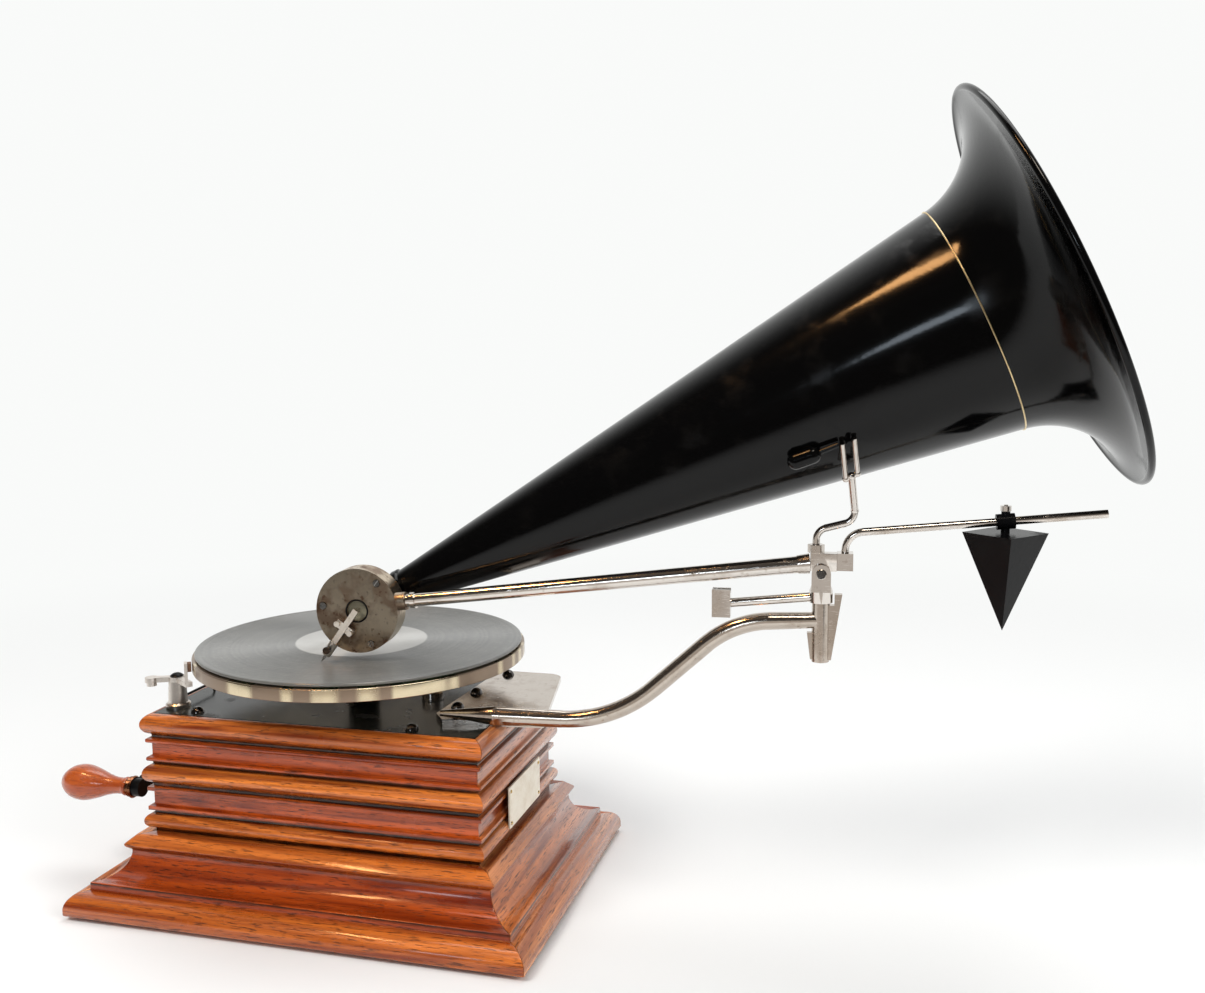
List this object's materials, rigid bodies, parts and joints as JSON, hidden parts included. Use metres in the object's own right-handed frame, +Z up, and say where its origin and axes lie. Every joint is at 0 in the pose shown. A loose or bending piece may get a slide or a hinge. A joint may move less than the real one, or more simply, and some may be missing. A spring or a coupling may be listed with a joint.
{
  "type": "disc gramophone",
  "caption": "Table gramophone with a moulded oak case, spring motor, black flared horn on a travelling arm with soundbox and sliding counterweight, and a side winding crank.",
  "frame": {"origin": "middle of the case's footprint, level with the undersides of the feet", "axes": "+X along the front of the case to the right, under the horn's mouth; +Y to the back; +Z up"},
  "size_m": [0.5637, 0.1996, 0.4088],
  "materials": {
    "oak": "varnished oak",
    "plain_wood": "plain wood",
    "dark_board": "dark lacquer",
    "red_wood": "polished turned wood",
    "nickel": "worn nickel plate",
    "steel": "drawn steel",
    "brass": "machined brass",
    "black_lacquer": "glossy black lacquer",
    "black_iron": "black japanned iron",
    "pewter": "dull grey plate",
    "shellac": "pressed shellac",
    "felt": "wool felt",
    "cream": "cream enamel",
    "leather": "worn leather",
    "mica": "clear mica",
    "rubber": "matt"
  },
  "bodies": {
    "case": {"plinth_rails_long": "oak", "plinth_rails_end": "oak", "waist_rails_long": "oak", "waist_rails_end": "oak", "cornice_rails_long": "oak", "cornice_rails_end": "oak", "bottom_board": "plain_wood", "motor_board": "dark_board", "feet": "rubber", "name_plate": "cream", "name_plate_pins": "brass", "dome_screws": "black_iron", "support_arm": "nickel", "spindle_bush": "black_iron", "upper_plate": "brass", "lower_plate": "brass", "pillars": "brass", "crank_bush": "nickel", "brake_post": "nickel", "brake_spring": "black_iron", "brake_screw": "black_iron"},
    "turntable": {"spindle": "steel", "spindle_wheel": "brass", "platter": "nickel", "felt_mat": "felt", "record": "shellac"},
    "barrel": {"spring_barrel": "brass", "barrel_cover": "brass", "mainspring": "steel"},
    "arbor": {"winding_arbor": "steel", "winding_wheel": "brass"},
    "governor": {"governor_shaft": "steel", "governor_weights": "brass", "governor_springs": "steel"},
    "crank": {"crank": "black_iron", "crank_ferrule": "brass"},
    "handle": {"crank_handle": "red_wood"},
    "brake": {"brake_lever": "nickel", "brake_pad": "leather"},
    "click": {"click": "steel"},
    "regulator": {"regulator_screw": "nickel", "friction_pad": "leather"},
    "swivel": {"swivel_head": "nickel", "hinge_pin": "steel"},
    "arm": {"arm_knuckle": "nickel", "travelling_arm": "nickel", "counter_rod": "nickel", "horn_rest": "nickel", "horn_cone": "black_lacquer", "horn_bell": "black_lacquer", "elbow": "black_lacquer", "soundbox_back": "pewter", "soundbox_face": "pewter", "diaphragm": "mica", "soundbox_screws": "steel", "stylus_bar": "steel", "needle": "steel"},
    "needle_screw": {"needle_screw": "steel"},
    "counterweight": {"counterweight": "black_iron"},
    "weight_screw": {"weight_screw": "nickel"}
  },
  "joints": [
    {"name": "turntable_spin", "type": "hinge", "parent": "case", "child": "turntable", "pos_m": [0.003, 0.0015, 0.13], "axis": [0, 0, 1], "continuous": true},
    {"name": "barrel_turn", "type": "hinge", "parent": "case", "child": "barrel", "pos_m": [-0.0348, 0.0015, 0.03], "axis": [0, 0, 1], "continuous": true},
    {"name": "governor_spin", "type": "hinge", "parent": "case", "child": "governor", "pos_m": [0.033, 0.0015, 0.05], "axis": [0, 0, 1], "continuous": true},
    {"name": "crank_turn", "type": "hinge", "parent": "case", "child": "crank", "pos_m": [-0.08, 0.0015, 0.06], "axis": [1, 0, 0], "continuous": true},
    {"name": "arbor_turn", "type": "hinge", "parent": "case", "child": "arbor", "pos_m": [-0.0348, 0.0015, 0.07], "axis": [0, 0, 1], "continuous": true},
    {"name": "handle_spin", "type": "hinge", "parent": "crank", "child": "handle", "pos_m": [-0.14, -0.03343, 0.05129], "axis": [1, 0, 0], "continuous": true},
    {"name": "brake_swing", "type": "hinge", "parent": "case", "child": "brake", "pos_m": [-0.0845, -0.042, 0.117], "axis": [0, 0, 1], "range_deg": [-20, 0]},
    {"name": "click_lift", "type": "hinge", "parent": "case", "child": "click", "pos_m": [-0.0348, 0.0205, 0.088], "axis": [0, 0, 1], "range_deg": [-15, 0]},
    {"name": "regulator_turn", "type": "hinge", "parent": "case", "child": "regulator", "pos_m": [0.044, 0.0015, 0.1], "axis": [0, 0, 1], "range_deg": [-180, 180]},
    {"name": "arm_swing", "type": "hinge", "parent": "case", "child": "swivel", "pos_m": [0.2535, -0.0205, 0.17126], "axis": [0, 0, 1], "range_deg": [-6, 45]},
    {"name": "arm_lift", "type": "hinge", "parent": "swivel", "child": "arm", "pos_m": [0.2535, -0.0205, 0.18576], "axis": [-0.0819, 0.9966, 0], "range_deg": [0, 30]},
    {"name": "weight_slide", "type": "slide", "parent": "arm", "child": "counterweight", "axis": [0.992, 0.0816, 0.0958], "range_m": [-0.03, 0.036]},
    {"name": "weight_screw_turn", "type": "hinge", "parent": "counterweight", "child": "weight_screw", "pos_m": [0.33597, -0.01372, 0.21665], "axis": [0, 0, 1], "range_deg": [-180, 180]},
    {"name": "needle_screw_turn", "type": "hinge", "parent": "arm", "child": "needle_screw", "pos_m": [0.00891, -0.04763, 0.14106], "axis": [0.0819, -0.9966, 0], "range_deg": [-180, 180]}
  ],
  "couplings": [
    {"joint": "barrel_turn", "follows": "turntable_spin", "ratio": -0.16667},
    {"joint": "governor_spin", "follows": "turntable_spin", "ratio": -9},
    {"joint": "arbor_turn", "follows": "crank_turn", "ratio": -0.33333}
  ]
}
